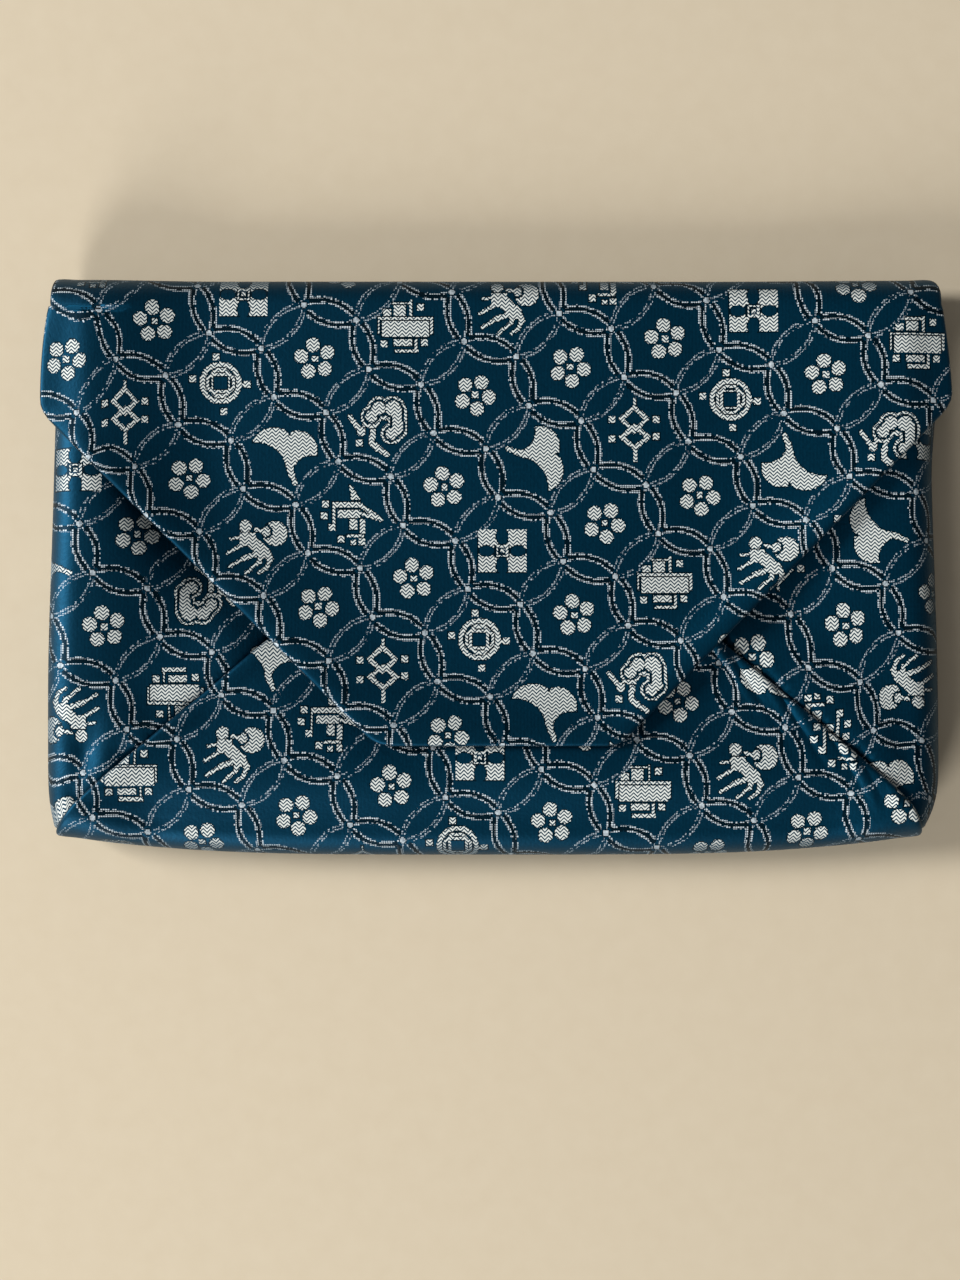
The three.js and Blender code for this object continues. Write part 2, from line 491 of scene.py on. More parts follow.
@dataclass
class ClothLayout:
    """Where each panel lies on the flat cloth, in mm of its woven pattern.

    The flap's own X and Y are the cloth's u and v. Over the top fold v runs on
    down the back, round the bottom fold and up the bottom panel, and u runs on
    round the side folds. The offsets are those at which the motifs stand on the
    panels, and what they differ from the fold lengths is eased in on the back.
    side_pull is how far a side panel's lower part is pulled askew, in u and v,
    and edge_pull how far the flap's left margin is; their ramps say where, across
    in x, up in y, or from the fold.
    """

    panel_u: float = 1.8
    panel_v: float = 313.3
    side_u: dict[Side, float] = field(
        default_factory=lambda: {Side.LEFT: -243.75, Side.RIGHT: 240.5}
    )
    side_v: float = 163.4
    side_pull: dict[Side, tuple[float, float]] = field(
        default_factory=lambda: {Side.LEFT: (0.0, 0.0), Side.RIGHT: (2.0, 3.0)}
    )
    side_pull_up: Ramp = Ramp(2.0, -45.0)
    side_pull_in: Ramp = Ramp(0.0, 20.0)
    edge_pull: tuple[float, float] = (2.6, 2.8)
    edge_pull_u: Ramp = Ramp(-90.0, -20.0)
    edge_pull_v: Ramp = Ramp(-99.0, -11.0)
    edge_pull_down: Ramp = Ramp(7.0, 10.0)
    ease_top: float = 60.0
    ease_bottom: float = 40.0
    ease_side: float = 25.0


@dataclass
class Grid:
    """A grid of places, each value a 2-D array, in mm.

    A place is x, y and z, lies at u and v on the flat cloth, and is hem away from
    the nearest free edge.
    """

    x: np.ndarray
    y: np.ndarray
    z: np.ndarray
    u: np.ndarray
    v: np.ndarray
    hem: np.ndarray

    def stacked(self) -> np.ndarray:
        """All six arrays as one, of shape rows x columns x 6."""
        return np.stack([self.x, self.y, self.z, self.u, self.v, self.hem], axis=-1)


@dataclass
class PouchCloth:
    """The whole pouch: one cloth with its folds, soft edges and lining.

    The grids' steps, the soft hem's reach and fullness and no_hem, a distance
    from which no edge is felt, are in mm. The flat cloth's size is in m and is not
    used. An arc of crowd degrees to each side spaces the columns, and crowding draws
    the first rows together. The flap's upper edge is straight from bow_end below the
    fold, whose ends are rounded within rounding_turn, in radians. The back's rows are
    back_coarser times as far apart as the others. Along a side panel's row, a mm
    is side_lean mm from its slanting edge.
    """

    form: PouchForm = field(default_factory=PouchForm)
    layout: ClothLayout = field(default_factory=ClothLayout)
    columns: int = 148
    crowd: float = 66.0
    crowding: float = 0.7
    bow_end: float = 5.0
    rounding_turn: float = 0.55
    row_step: float = 1.5
    back_coarser: float = 1.25
    fold_rows: int = 16
    strip_columns: int = 76
    hem_reach: float = 3.2
    hem_fullness: float = 0.32
    hem_blend: float = 2.0
    no_hem: float = 50.0
    side_lean: float = 0.61
    rim_steps: int = 5
    flat_size: tuple[float, float] = (0.408, 0.342)
    flat_area: float = 0.0846

    def shares(self) -> np.ndarray:
        """Places of the columns across a row, from -1 to 1, closer near its ends."""
        turn = np.linspace(-1.0, 1.0, self.columns + 1) * math.radians(self.crowd)
        return np.sin(turn) / math.sin(math.radians(self.crowd))

    def rows_between(self, start: float, end: float, tight: bool) -> np.ndarray:
        """Places of rows from start to end, about row_step apart.

        Args:
            start: where the first row is.
            end: where the last row is.
            tight: whether the rows are closer near the start, at a free edge.

        Returns:
            The rows' places, both ends included.
        """
        count = max(2, round(abs(end - start) / self.row_step))
        share = np.linspace(0.0, 1.0, count + 1)
        if tight:
            drawn = np.sin(np.pi * share) / np.pi * (1.0 - share) ** 2
            share = share - self.crowding * drawn
        return start + (end - start) * share

    def flap_half(self, y: np.ndarray, side: Side) -> np.ndarray:
        """Half width of the flap at y, on one side of its middle.

        The slanting edge is a straight line from the tip to the shoulder, the
        edge above it narrows to the fold by a power of the height, and their
        meeting is rounded. The tip's corner is an arc of radius r, at
        x = centre + sqrt(r^2 - (y - tip - r)^2).

        Args:
            y: the rows.
            side: the side of the pouch.

        Returns:
            The half width at each row.
        """
        form, made = self.form, self.form.flap_sides[side]
        tip_half = form.flap_tip_width / 2
        shoulder, shoulder_half = form.shoulder[side], form.shoulder_half[side]
        run = shoulder_half - tip_half
        rise = shoulder - form.flap_tip
        slant = tip_half + (y - form.flap_tip) * run / rise
        up = np.maximum((y - shoulder) / (form.top_line - self.bow_end - shoulder), 0.0)
        bowed = np.minimum(up, 1.0) ** made.bow
        edge = shoulder_half + (form.fold_half[side] - shoulder_half) * bowed
        half = nearer(slant, edge, form.flap_shoulder_blend)
        corner = math.acos(-run / math.hypot(run, rise))
        reach = made.tip_radius / math.tan(corner / 2)
        down = np.clip((form.flap_tip + made.tip_radius - y) / made.tip_radius, 0.0, 1.0)
        arc = tip_half - reach + made.tip_radius * np.sqrt(1.0 - down**2)
        level = form.flap_tip + reach * rise / math.hypot(run, rise)
        return np.where(y < level, arc, half)

    def flap_grid(self) -> Grid:
        """The flap, from its tip up to the top fold.

        A place is (share * half(y), y) at the flap's height, and its hem is its
        distance from the nearest free edge.

        Returns:
            The grid, its first row along the tip.
        """
        form, layout = self.form, self.layout
        share = self.shares()
        last = float(form.top_tangent(np.array([form.side_line]))[0]) - self.row_step
        rows = self.rows_between(form.flap_tip, last, True)
        left = self.flap_half(rows, Side.LEFT)
        right = self.flap_half(rows, Side.RIGHT)
        half = np.where(share[None, :] < 0, left[:, None], right[:, None])
        x = half * share[None, :]
        y = np.repeat(rows[:, None], share.size, axis=1)
        run = form.shoulder_half[Side.LEFT] - form.flap_tip_width / 2
        rise = form.shoulder[Side.LEFT] - form.flap_tip
        lean = np.where(y < form.shoulder[Side.LEFT], rise / math.hypot(run, rise), 1.0)
        hem = nearer((half - np.abs(x)) * lean, y - form.flap_tip, self.hem_blend)
        below = layout.edge_pull_down.at(form.top_line - y)
        u = x - layout.edge_pull[0] * layout.edge_pull_u.at(x) * below
        v = y + layout.edge_pull[1] * layout.edge_pull_v.at(x) * below
        return Grid(x, y, form.flap(x, y), u, v, hem)

    def top_fold_grid(self) -> Grid:
        """The top fold, a half turn of radius R: y = tangent + R sin, z = t/2 + R (1 - cos).

        It is as wide as the flap for its upper quarter turn and narrows to the
        back by the sine of the turn below that. On the flat cloth v runs on by
        R (pi - turn).

        Returns:
            The grid, its first row at the flap and its last at the back.
        """
        form = self.form
        turn = np.linspace(math.pi, 0.0, self.fold_rows + 1)[:, None]
        swell = np.where(turn > math.pi / 2, 1.0, np.sin(turn))
        share = self.shares()[None, :]
        left, right = form.flap_sides[Side.LEFT], form.flap_sides[Side.RIGHT]
        rounding = np.where(share < 0, left.fold_rounding, right.fold_rounding)
        fold_half = np.where(share < 0, form.fold_half[Side.LEFT], form.fold_half[Side.RIGHT])
        half = form.side_tangent + (fold_half - form.side_tangent) * swell
        half = half - rounding * hill(turn - math.pi / 2, self.rounding_turn)
        x = half * share
        radius = form.top_radius(x)
        y = form.top_tangent(x) + radius * np.sin(turn)
        z = form.half + radius * (1.0 - np.cos(turn))
        v = form.top_tangent(x) + radius * (math.pi - turn)
        hem = np.where(turn > math.pi / 2, half - np.abs(x), self.no_hem + 0.0 * x)
        return Grid(x, y, z, x, v, hem)

    def back_cloth(self, x: np.ndarray, y: np.ndarray) -> tuple[np.ndarray, np.ndarray]:
        """Where a place on the back lies on the flat cloth.

        v is the side panels' own v less what the top and bottom folds need at
        their ends, each fading inwards; u spreads a little towards the sides.

        Args:
            x: places across the back.
            y: places up the back.

        Returns:
            u and v.
        """
        form, layout = self.form, self.layout
        top, bottom = form.top_tangent(x), form.bottom_tangent(x)
        lack_top = layout.side_v - top - (top + math.pi * form.top_radius(x))
        low = bottom + layout.panel_v - math.pi * form.bottom_radius(x)
        lack_bottom = layout.side_v - bottom - low
        v = layout.side_v - y
        v = v - lack_top * (1.0 - smooth((top - y) / layout.ease_top))
        v = v - lack_bottom * (1.0 - smooth((y - bottom) / layout.ease_bottom))
        middle = smooth((top - y) / layout.ease_side) * smooth((y - bottom) / layout.ease_side)
        spread = np.where(x < 0, self.spare(Side.LEFT), self.spare(Side.RIGHT))
        return x * (1.0 + spread / form.side_tangent * middle), v

    def spare(self, side: Side) -> float:
        """How much longer the flat cloth is than the side fold, between back and panel.

        Args:
            side: the side of the pouch.

        Returns:
            The spare length.
        """
        form = self.form
        end = self.layout.side_u[side] - side.value * form.side_tangent
        return abs(end) - form.side_tangent - math.pi * form.side_radius

    def back_rows(self) -> np.ndarray:
        """Shares of the back's rows between the top fold's tangent and the bottom's."""
        count = round(self.form.height / self.row_step / self.back_coarser)
        return np.linspace(0.0, 1.0, count + 1)

    def back_grid(self) -> Grid:
        """The flat back between the two folds, which the pouch lies on.

        Returns:
            The grid, its first row at the top fold.
        """
        form = self.form
        share = self.shares()[None, :]
        down = self.back_rows()[:, None]
        x = form.side_tangent * share * np.ones_like(down)
        y = form.top_tangent(x) * (1.0 - down) + form.bottom_tangent(x) * down
        u, v = self.back_cloth(x, y)
        level, hem = np.full_like(x, form.half), np.full_like(x, self.no_hem)
        return Grid(form.settled(x, y), y, level, u, v, hem)

    def bottom_fold_grid(self) -> Grid:
        """The bottom fold, a half turn: y = tangent - R sin, z = t/2 + R (1 - cos).

        Its ends swell out by the sine of the turn and close the lower corners.

        Returns:
            The grid, its first row at the back and its last at the bottom panel.
        """
        form, layout = self.form, self.layout
        turn = np.linspace(0.0, math.pi, self.fold_rows + 1)[:, None]
        half = form.side_tangent + form.corner_swell * np.sin(turn)
        x = half * self.shares()[None, :]
        radius = form.bottom_radius(x)
        y = form.bottom_tangent(x) - radius * np.sin(turn)
        z = form.half + radius * (1.0 - np.cos(turn))
        low = form.bottom_tangent(x) + layout.panel_v - math.pi * radius
        placed = form.settled(x, y)
        u = x + (placed - x + layout.panel_u) * smooth(turn / math.pi)
        return Grid(placed, y, z, u, low + radius * turn, np.abs(half - np.abs(x)) + 1.0)

    def bottom_panel_grid(self) -> Grid:
        """The bottom panel, a trapezium with its narrow edge up, at its own height.

        Returns:
            The grid, its first row at the bottom fold.
        """
        form, layout = self.form, self.layout
        corner = float(form.bottom_tangent(np.array([form.side_tangent]))[0])
        rows = self.rows_between(corner, form.panel_edge, False)
        up = (rows - corner) / (form.panel_edge - corner)
        half = form.side_tangent + (form.panel_top_width / 2 - form.side_tangent) * up
        share = self.shares()[None, :]
        x = half[:, None] * share
        start = form.bottom_tangent(x[0])[None, :]
        y = start + (form.panel_edge - start) * up[:, None]
        z = form.bottom_panel(x, y)
        hem = nearer(half[:, None] - np.abs(x), form.panel_edge - y, self.hem_blend)
        placed = form.settled(x, y)
        return Grid(placed, y, z, placed + layout.panel_u, y + layout.panel_v, hem)

    def side_grid(self, side: Side) -> Grid:
        """A side panel, from the back's edge round the side fold and in over the front.

        At the distance s from the back's edge, x = tangent + R sin(s / R) and
        z = t/2 + h (1 - cos(s / R)) / 2 round the fold, and past it the panel runs
        straight in at its own height. Each row is side_slant times as long as it
        lies below the top, so the panel's upper edge slants.

        Args:
            side: the side of the pouch.

        Returns:
            The grid, its first column along the back's edge.
        """
        form, layout = self.form, self.layout
        edge = np.array([form.side_tangent])
        top, corner = float(form.top_tangent(edge)[0]), float(form.bottom_tangent(edge)[0])
        y = (top + (corner - top) * self.back_rows())[:, None]
        fold = math.pi * form.side_radius
        longest = fold + form.side_reach - form.side_radius
        length = np.minimum(form.side_slant * (top - y), longest)
        along = length * np.linspace(0.0, 1.0, self.strip_columns + 1)[None, :]
        angle = np.minimum(along / form.side_radius, math.pi)
        x = form.side_tangent + form.side_radius * np.sin(angle)
        x = x - np.maximum(along - fold, 0.0)
        place_y = y + np.zeros_like(x)
        climb = form.front(side.value * edge, y) - form.half
        climb = climb - form.dented(side.value * x, place_y)
        z = form.half + climb * (1.0 - np.cos(angle)) / 2
        z = np.where(along > fold, form.side_panel(side.value * x, place_y), z)
        bow = np.maximum(0.0, 1.0 - (y - corner) / (4 * form.side_radius)) ** 2
        low = form.bottom_tangent(x) - form.bottom_radius(x) * np.sin(angle)
        drop = np.maximum(0.0, corner - low - form.corner_clearance)
        place_y = place_y - np.where(along < fold, bow * drop, 0.0)
        back_u, back_v = self.back_cloth(side.value * edge + 0.0 * y, y)
        round_it = np.minimum(along / fold, 1.0)
        placed = form.settled(side.value * x, place_y)
        end = layout.side_u[side] - form.settled(side.value * edge + 0.0 * y, y)
        folded_u = back_u + (end - back_u) * round_it
        u = np.where(along < fold, folded_u, layout.side_u[side] - placed)
        pull = layout.side_pull_up.at(y) * layout.side_pull_in.at(along - fold)
        u = u + layout.side_pull[side][0] * pull
        v = back_v + (layout.side_v - y - back_v) * smooth(round_it)
        v = v - layout.side_pull[side][1] * pull
        return Grid(placed, place_y, z, u, v, (length - along) * self.side_lean)

    def middle(self) -> tuple[np.ndarray, np.ndarray]:
        """All panels as one middle surface.

        The flap, the folds, the back and the bottom panel are one long grid, in
        which the rows that two of them share are kept once. The side panels join
        the back along its edges.

        Returns:
            The places, of shape n x 6, and the triangles, of shape m x 3.
        """
        chain = [self.flap_grid(), self.top_fold_grid(), self.back_grid(),
                 self.bottom_fold_grid(), self.bottom_panel_grid()]
        blocks = [grid.stacked() for grid in chain]
        blocks[2] = blocks[2][1:-1]
        blocks[4] = blocks[4][1:]
        sheets = [(np.concatenate(blocks, axis=0), False)]
        sheets += [(self.side_grid(side).stacked(), side is Side.LEFT) for side in Side]
        places, triangles, base = [], [], 0
        for block, flip in sheets:
            rows, columns, _ = block.shape
            number = base + np.arange(rows * columns).reshape(rows, columns)
            a, b = number[:-1, :-1].ravel(), number[:-1, 1:].ravel()
            d, e = number[1:, 1:].ravel(), number[1:, :-1].ravel()
            made = np.concatenate([np.stack([a, b, d], 1), np.stack([a, d, e], 1)])
            triangles.append(made[:, ::-1] if flip else made)
            places.append(block.reshape(-1, 6))
            base += rows * columns
        return merged(np.concatenate(places), np.concatenate(triangles))


def merged(places: np.ndarray, triangles: np.ndarray) -> tuple[np.ndarray, np.ndarray]:
    """Joins places that coincide to a thousandth of a millimetre.

    Args:
        places: n x 6, of which the first three are the place.
        triangles: m x 3 numbers of places.

    Returns:
        The places kept and the triangles that still have three corners.
    """
    key = np.round(places[:, :3], 3) + 0.0
    _, first, number = np.unique(key, axis=0, return_index=True, return_inverse=True)
    made = number.reshape(-1)[triangles]
    whole = (made[:, 0] != made[:, 1]) & (made[:, 1] != made[:, 2]) & (made[:, 2] != made[:, 0])
    return places[first], made[whole]


def unit(vectors: np.ndarray) -> np.ndarray:
    """Vectors at length 1, each divided by its own length."""
    return vectors / np.maximum(np.linalg.norm(vectors, axis=1, keepdims=True), 1e-9)


@dataclass
class ThickCloth:
    """A middle surface with its thickness: an outer face, an inner face and soft rims.

    The places are as in Grid.stacked. Half is half the thickness, in mm.
    """

    places: np.ndarray
    triangles: np.ndarray
    half: float
    hem_reach: float
    hem_fullness: float
    rim_steps: int

    def normals(self) -> np.ndarray:
        """Each place's normal: the sum of its triangles' cross products, at length 1.

        Returns:
            The normals, n x 3.
        """
        spot = self.places[:, :3]
        a, b, c = (spot[self.triangles[:, i]] for i in range(3))
        cross = np.cross(b - a, c - a)
        total = np.zeros_like(spot)
        for corner in range(3):
            np.add.at(total, self.triangles[:, corner], cross)
        return unit(total)

    def free_edges(self) -> np.ndarray:
        """Finds the edges that only one triangle has.

        Returns:
            The numbers of their places, k x 2, in that triangle's order.
        """
        tri = self.triangles
        edges = np.concatenate([tri[:, [0, 1]], tri[:, [1, 2]], tri[:, [2, 0]]])
        count = len(self.places)
        there = edges[:, 0].astype(np.int64) * count + edges[:, 1]
        back = edges[:, 1].astype(np.int64) * count + edges[:, 0]
        return edges[~np.isin(there, back)]

    def build(self) -> tuple[np.ndarray, np.ndarray, np.ndarray, np.ndarray]:
        """Works out the closed cloth.

        The outer face lies half a thickness out along the normal, and fuller
        near the free edges by a hill that is highest 0.4 of the hem's reach from
        them, but not on the flat back. The inner face lies half a thickness in.
        Rims join the two.

        Returns:
            Places n x 3, flat cloth places n x 2, faces as triangles m x 3, and
            each face's material, 0 for the brocade and 1 for the lining.
        """
        spot, cloth, hem = self.places[:, :3], self.places[:, 3:5], self.places[:, 5]
        normal = self.normals()
        full = self.hem_fullness * hill(hem - 0.4 * self.hem_reach, self.hem_reach)
        full = full * OFF_THE_BACK.at(spot[:, 2])
        above = self.half + full
        outer = spot + normal * above[:, None]
        inner = spot - normal * self.half
        free = self.free_edges()
        rim = np.unique(free)
        rings, rings_cloth = self.rim_rings(free, rim, normal, above)
        faces, kinds = self.closed_faces(free, rim)
        points = np.concatenate([outer, inner] + rings)
        flat = np.concatenate([cloth, cloth] + rings_cloth)
        return points, flat, faces, kinds

    def rim_rings(self, free: np.ndarray, rim: np.ndarray, normal: np.ndarray,
                  above: np.ndarray) -> tuple[list[np.ndarray], list[np.ndarray]]:
        """Works out the rims between the outer face and the inner one.

        A rim is a half circle out from the free edge: at the turn a it lies at
        centre + normal R cos a + out R sin a, and R a further on the flat cloth.

        Args:
            free: the free edges.
            rim: the numbers of the places on them.
            normal: each place's normal.
            above: how far the outer face lies out from each place.

        Returns:
            The places of each step round the rim, and their flat cloth places.
        """
        spot, cloth = self.places[:, :3], self.places[:, 3:5]
        along, along_cloth = np.zeros_like(spot), np.zeros_like(cloth)
        step = spot[free[:, 1]] - spot[free[:, 0]]
        step_cloth = cloth[free[:, 1]] - cloth[free[:, 0]]
        for end in range(2):
            np.add.at(along, free[:, end], unit(step))
            np.add.at(along_cloth, free[:, end], unit(step_cloth))
        out = unit(np.cross(along[rim], normal[rim]))
        out_cloth = unit(np.stack([along_cloth[rim][:, 1], -along_cloth[rim][:, 0]], axis=1))
        radius = (above[rim] + self.half) / 2
        centre = spot[rim] + normal[rim] * (above[rim] - self.half)[:, None] / 2
        turns = np.linspace(0.0, math.pi, self.rim_steps + 2)[1:-1]
        rings = [centre + normal[rim] * (radius * math.cos(turn))[:, None]
                 + out * (radius * math.sin(turn))[:, None] for turn in turns]
        return rings, [cloth[rim] + out_cloth * (radius * turn)[:, None] for turn in turns]

    def closed_faces(self, free: np.ndarray, rim: np.ndarray) -> tuple[np.ndarray, np.ndarray]:
        """Works out the triangles of both faces and of the rims between them.

        Args:
            free: the free edges.
            rim: the numbers of the places on them.

        Returns:
            The triangles, and each one's material.
        """
        count = len(self.places)
        place = np.full(count, -1)
        place[rim] = np.arange(rim.size)
        levels = [free]
        for number in range(self.rim_steps):
            levels.append(2 * count + number * rim.size + place[free])
        levels.append(free + count)
        faces = [self.triangles, self.triangles[:, ::-1] + count]
        kinds = [np.zeros(len(self.triangles), int), np.ones(len(self.triangles), int)]
        for upper, lower in zip(levels[:-1], levels[1:]):
            faces += [np.stack([upper[:, 0], lower[:, 0], upper[:, 1]], 1),
                      np.stack([upper[:, 1], lower[:, 0], lower[:, 1]], 1)]
            kinds += [np.zeros(len(free), int)] * 2
        return np.concatenate(faces), np.concatenate(kinds)


def put_mesh(name: str, points: np.ndarray, faces: np.ndarray, flat: np.ndarray,
             kinds: np.ndarray, materials: list[bpy.types.Material]) -> bpy.types.Object:
    """Puts worked-out arrays into a mesh object at the origin.

    Its painted shade attribute is 0 where the cloth lies flat and 1 round a fold, by its
    normal's Z.

    Args:
        name: the object's name.
        points: n x 3 places in mm.
        faces: m x 3 numbers of places.
        flat: n x 2 places on the flat cloth in mm, kept as the UV map "cloth".
        kinds: each face's number in the list of materials.
        materials: the materials.

    Returns:
        The new object.
    """
    mesh = bpy.data.meshes.new(name)
    mesh.vertices.add(len(points))
    mesh.vertices.foreach_set("co", (points * MM).astype(np.float32).ravel())
    mesh.loops.add(faces.size)
    mesh.loops.foreach_set("vertex_index", faces.astype(np.int32).ravel())
    mesh.polygons.add(len(faces))
    mesh.polygons.foreach_set("loop_start", np.arange(0, faces.size, 3, dtype=np.int32))
    mesh.polygons.foreach_set("material_index", kinds.astype(np.int32))
    mesh.polygons.foreach_set("use_smooth", np.ones(len(faces), dtype=bool))
    layer = mesh.uv_layers.new(name="cloth")
    layer.uv.foreach_set("vector", flat[faces.ravel()].astype(np.float32).ravel())
    for material in materials:
        mesh.materials.append(material)
    mesh.update(calc_edges=True)
    mesh.validate()
    facing = np.empty(len(points) * 3, dtype=np.float32)
    mesh.vertex_normals.foreach_get("vector", facing)
    # Painted shade: 1 where the normal turns from straight up round a fold, which dims the pale
    # threads there.
    turned = PAINTED_FOLD_SHADE.at(np.abs(facing[2::3]))
    mesh.attributes.new("turned", "FLOAT", "POINT").data.foreach_set(
        "value", turned.astype(np.float32))
    made = bpy.data.objects.new(name, mesh)
    bpy.context.collection.objects.link(made)
    return made


def add(tree: bpy.types.NodeTree, kind: str, links: dict | None = None,
        **settings: object) -> bpy.types.Node:
    """Adds a node with its settings and links.

    Args:
        tree: the node tree.
        kind: the node's type.
        links: what its inputs get, by name or number: an output socket or a value.
        settings: the node's own properties.

    Returns:
        The node.
    """
    node = tree.nodes.new(kind)
    for name, value in settings.items():
        setattr(node, name, value)
    for name, value in (links or {}).items():
        if isinstance(value, bpy.types.NodeSocket):
            tree.links.new(value, node.inputs[name])
        else:
            node.inputs[name].default_value = value
    return node


def fresh_material(name: str) -> tuple[bpy.types.Material, bpy.types.ShaderNodeTree,
                                       bpy.types.Node]:
    """Makes a new material.

    Args:
        name: its name.

    Returns:
        The material, its node tree and the shader in it.
    """
    material = bpy.data.materials.new(name)
    material.use_nodes = True
    tree = material.node_tree
    return material, tree, tree.nodes["Principled BSDF"]


@dataclass(frozen=True)
class RingLattice:
    """The woven pattern's lattice of overlapping rings, in mm of the flat cloth.

    Ring centres stand at origin + i * across + j * down. Each ring is two woven
    lines, and rings of neighbouring centres cross in lens shapes. The rings are a
    little flatter along the lattice's short diagonal, where the squeeze adds to
    the distance from their centres. Where three rings meet stands a small knot,
    and the lines stop clear of it. Corner is how far before a crossing a line
    bends, and outline how wide the dark edge about a figure is. The steps are
    those of the threads, of the beads of a line and of the twill.
    """

    origin: tuple[float, float] = (-6.006, 44.99)
    across: tuple[float, float] = (24.856, 7.306)
    down: tuple[float, float] = (-7.956, -24.05)
    squeeze: float = 0.093
    inner_ring: float = 15.05
    outer_ring: float = 16.35
    line_half: float = 0.25
    corner: float = 1.1
    knot_half: float = 0.75
    knot_clear: float = 1.15
    thread_step: float = 0.34
    bead_step: float = 0.6
    twill_step: float = 0.95
    outline: float = 0.25

    def lean(self) -> np.ndarray:
        """The squeeze's direction, the short diagonal, as long as the squeeze's root."""
        short = np.add(self.across, self.down)
        return math.sqrt(self.squeeze) * short / np.linalg.norm(short)

    def knot(self, third: tuple[float, float]) -> np.ndarray:
        """The place as far from 0 as from across + down and from a third centre.

        With M = 1 + lean lean^T, p is as far from a as from 0 where 2 a M p = a M a.

        Args:
            third: the third centre, from the first.

        Returns:
            The place p.
        """
        metric = np.eye(2) + np.outer(self.lean(), self.lean())
        ends = np.array([np.add(self.across, self.down), third])
        return np.linalg.solve(2 * ends @ metric, np.sum(ends @ metric * ends, axis=1))

    def values(self) -> dict[str, float]:
        """Works out the lattice's numbers.

        p and q, a place in steps across and down, come from u and v by the
        inverse of the two steps: pu, pv, qu and qv.

        Returns:
            The numbers under the names that the formulas use.
        """
        (ax, ay), (cx, cy) = self.across, self.down
        area = ax * cy - ay * cx
        near, far = self.knot(self.down), self.knot(self.across)
        lean = self.lean()
        return {
            "ou": self.origin[0], "ov": self.origin[1],
            "ax": ax, "ay": ay, "cx": cx, "cy": cy,
            "pu": cy / area, "pv": -cx / area, "qu": -ay / area, "qv": ax / area,
            "lx": float(lean[0]), "ly": float(lean[1]),
            "kx": float(near[0]), "ky": float(near[1]),
            "kdx": float(far[0] - near[0]), "kdy": float(far[1] - near[1]),
            "inner": self.inner_ring, "outer": self.outer_ring,
            "half": self.line_half, "corner": self.corner,
            "knot_half": self.knot_half, "clear": self.knot_clear,
            "step": self.thread_step, "bead_step": self.bead_step,
            "twill": self.twill_step, "edge": self.outline,
        }


# Shapes that the motifs are drawn with: names of what goes in, and the formula.
# Each is a distance in mm, below 0 inside the shape. "cell" moves a motif far off
# in every ring but those of its own kind.
SHAPES: dict[str, tuple[str, str]] = {
    "length": ("x y", "sqrt(x * x + y * y)"),
    "from_ring": ("x y w", "sqrt(x * x + y * y + w * w)"),
    "box": ("x y w h", "max(abs(x) - w, abs(y) - h)"),
    "disc": ("x y r", "length(x, y) - r"),
    "dot": ("x y", "max(abs(x), abs(y)) - 0.85"),
    "band": ("d r w", "abs(d - r) - w"),
    "share": ("x y bx by", "held((x * bx + y * by) / (bx * bx + by * by))"),
    "along": ("x y bx by h r", "length(x - h * bx, y - h * by) - r"),
    "from_end": ("x y bx by r", "along(x, y, bx, by, share(x, y, bx, by), r)"),
    "bar": ("x y ax ay bx by r", "from_end(x - ax, y - ay, bx - ax, by - ay, r)"),
    "cell": ("d kind own", "d + 40 * (1 - same(kind, own))"),
}

# Where a place lies in the lattice. u and v are taken at the middle of a woven
# thread, which gives every figure its stepped edges. x and y are measured from
# the nearest ring centre, kind numbers the sixteen motifs in their woven order.
LATTICE = """
ru = (floor(u / step) + 0.5) * step - ou
rv = (floor(v / step) + 0.5) * step - ov
p = ru * pu + rv * pv
q = ru * qu + rv * qv
s = more(fract(p), fract(q))
x0 = fract(p) * ax + fract(q) * cx
y0 = fract(p) * ay + fract(q) * cy
x1 = x0 - (ax + cx)
y1 = y0 - (ay + cy)
x2 = x0 - cx - s * (ax - cx)
y2 = y0 - cy - s * (ay - cy)
d0 = from_ring(x0, y0, x0 * lx + y0 * ly)
d1 = from_ring(x1, y1, x1 * lx + y1 * ly)
d2 = from_ring(x2, y2, x2 * lx + y2 * ly)
m1 = less(d1, min(d0, d2))
m2 = less(d2, min(d0, d1))
x = x0 + m1 * (x1 - x0) + m2 * (x2 - x0)
y = y0 + m1 * (y1 - y0) + m2 * (y2 - y0)
i = floor(p) + m1 + m2 * s
j = floor(q) + m1 + m2 * (1 - s)
odd = j % 2
kind = (i + j - odd) % 8 + 8 * odd
"""

# The rings. Of the three distances lo and hi are the least and the greatest, and
# mid, the one between them, is the same all along the lens of two rings. The
# inner line draws in towards the knots, which closes the lens before them, and
# so does the outer line, which rounds its corners there: soft is the smooth
# lesser of mid and hi. Along the short diagonal the two lines are nearer. The
# dark band lies between them, but not there nor about a knot.
RINGS = """
hi = max(d0, d1, d2)
lo = min(d0, d1, d2)
mid = d0 + d1 + d2 - hi - lo
short = less(max(d0, d1), d2)
knot = length(x0 - kx - s * kdx, y0 - ky - s * kdy)
near = inner - 0.5 * held(1 - knot / 6.5)
past = outer - 0.45 * short - 0.55 * held(1 - knot / 5)
tight = max(corner - hi + mid, 0)
soft = mid - tight * tight / (4 * corner)
line = min(abs(mid - near), abs(soft - past)) - half + 0.05 * short
line = max(line, clear - knot)
between = max(near - mid, soft - past, 1.6 - knot) + 9 * short
knot = knot - knot_half
"""

# A plum blossom: five round petals about a small square. Its petal points up
# in some places and down in the others.
PLUM = """
up = same(kind, 2) + same(kind, 8) + same(kind, 12)
other = 1 - up - same(kind, 0) - same(kind, 1) - same(kind, 4) - same(kind, 5)
turn = (fract(atan2(y, x) / 1.2566 - 0.368 + 0.5 * up) - 0.5) * 1.2566
petal = disc(length(x, y) * cos(turn) - 3.65, length(x, y) * sin(turn), 1.8)
plum = min(petal, max(abs(x), abs(y)) - 0.75) + 40 * other
"""

